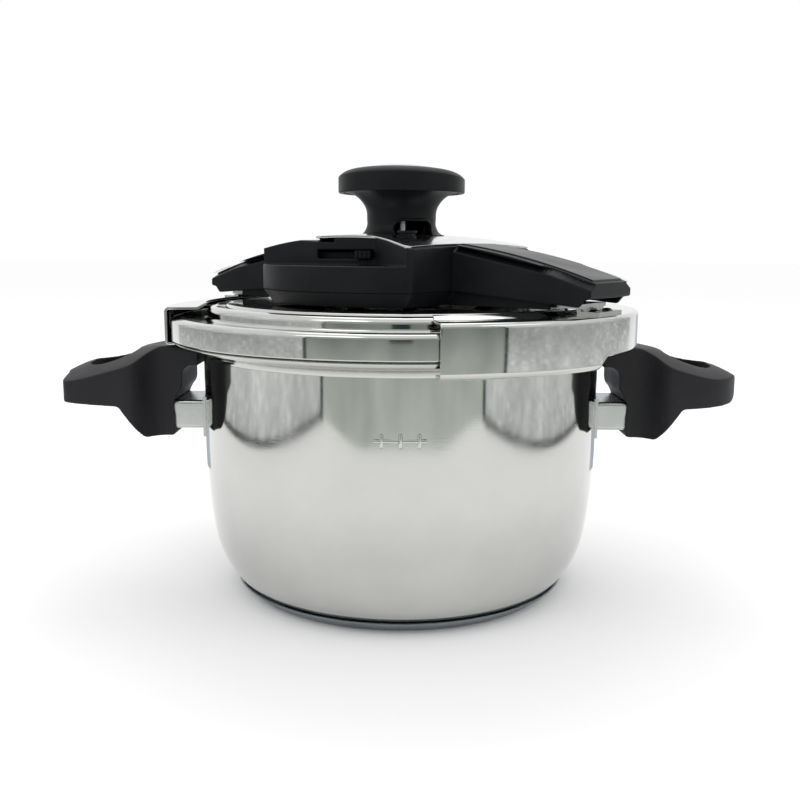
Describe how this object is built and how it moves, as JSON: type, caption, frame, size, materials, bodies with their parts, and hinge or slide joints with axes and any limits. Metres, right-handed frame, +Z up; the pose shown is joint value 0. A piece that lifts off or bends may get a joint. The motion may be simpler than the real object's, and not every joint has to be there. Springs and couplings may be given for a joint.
{
  "type": "stovetop pressure cooker",
  "caption": "Stovetop pressure cooker: polished steel pot and lid, two sliding clamp jaws driven by a central knob, black bridge housing and loop side handles.",
  "frame": {"origin": "centre of the underside of the base, on the hob", "axes": "+Z up; +X through the side handles; the front of the cooker faces -Y"},
  "size_m": [0.3816, 0.2612, 0.2378],
  "materials": {
    "polished_steel": "mirror-polished stainless steel",
    "brushed_steel": "satin stainless steel",
    "base_aluminium": "plain aluminium",
    "handle_plastic": "fine-grained heat-proof plastic",
    "housing_plastic": "satin moulded plastic",
    "knob_plastic": "satin moulded plastic",
    "seal_silicone": "translucent grey silicone",
    "valve_brass": "turned brass",
    "fastener_steel": "zinc-plated steel"
  },
  "bodies": {
    "cooker": {"pot_body": "polished_steel", "base_core": "base_aluminium", "base_cap": "brushed_steel", "handle_bracket_right": "brushed_steel", "handle_bracket_left": "brushed_steel", "side_handle_right": "handle_plastic", "side_handle_left": "handle_plastic", "handle_screws": "fastener_steel", "lid_gasket": "seal_silicone", "lid_shell": "polished_steel", "lid_studs": "fastener_steel", "lid_nuts": "fastener_steel", "indicator_seal": "seal_silicone", "valve_body": "valve_brass", "valve_seal": "seal_silicone", "valve_nut": "valve_brass", "valve_hood": "brushed_steel", "valve_spring": "fastener_steel", "safety_valve_body": "valve_brass", "safety_valve_nut": "valve_brass", "safety_spring": "fastener_steel", "safety_cap": "housing_plastic", "guide_posts": "fastener_steel", "housing_base": "housing_plastic", "housing_drum": "housing_plastic", "top_plate": "polished_steel", "arm_front": "housing_plastic", "arm_rear": "housing_plastic", "arm_cover_front": "housing_plastic", "arm_cover_rear": "housing_plastic", "steam_tower": "knob_plastic", "spindle_bush": "valve_brass", "slider_guide": "housing_plastic", "housing_screws": "fastener_steel"},
    "knob": {"knob_body": "knob_plastic", "knob_cap": "polished_steel", "knob_screw": "fastener_steel", "spindle": "brushed_steel", "spindle_clip": "fastener_steel", "drive_pinion": "brushed_steel"},
    "jaw_front": {"jaw_front": "polished_steel", "rack_front": "brushed_steel", "rack_rivets_front": "fastener_steel"},
    "jaw_rear": {"jaw_rear": "polished_steel", "rack_rear": "brushed_steel", "rack_rivets_rear": "fastener_steel"},
    "release_slider": {"release_slider": "housing_plastic"},
    "pressure_indicator": {"pressure_indicator": "housing_plastic"},
    "valve_weight": {"valve_weight": "brushed_steel"},
    "safety_plunger": {"safety_plunger": "brushed_steel"}
  },
  "joints": [
    {"name": "knob_turn", "type": "hinge", "parent": "cooker", "child": "knob", "pos_m": [0, 0, 0.2], "axis": [0, 0, 1], "range_deg": [0, 90]},
    {"name": "jaw_front_slide", "type": "slide", "parent": "cooker", "child": "jaw_front", "axis": [0.8192, -0.5736, 0], "range_m": [0, 0.01442]},
    {"name": "jaw_rear_slide", "type": "slide", "parent": "cooker", "child": "jaw_rear", "axis": [-0.8192, 0.5736, 0], "range_m": [0, 0.01442]},
    {"name": "release_slide", "type": "slide", "parent": "cooker", "child": "release_slider", "axis": [-0.9667, 0.2559, 0], "range_m": [0, 0.018]},
    {"name": "indicator_rise", "type": "slide", "parent": "cooker", "child": "pressure_indicator", "axis": [0, 0, 1], "range_m": [0, 0.004]},
    {"name": "valve_lift", "type": "slide", "parent": "cooker", "child": "valve_weight", "axis": [0, 0, 1], "range_m": [0, 0.003], "stiffness_N_per_m": 300, "springref_m": -0.001, "deforming": ["valve_spring"]},
    {"name": "safety_lift", "type": "slide", "parent": "cooker", "child": "safety_plunger", "axis": [0, 0, 1], "range_m": [0, 0.002], "stiffness_N_per_m": 500, "springref_m": -0.001, "deforming": ["safety_spring"]}
  ],
  "couplings": [
    {"joint": "jaw_front_slide", "follows": "knob_turn", "m_per_rad": 0.009},
    {"joint": "jaw_rear_slide", "follows": "knob_turn", "m_per_rad": 0.009}
  ]
}
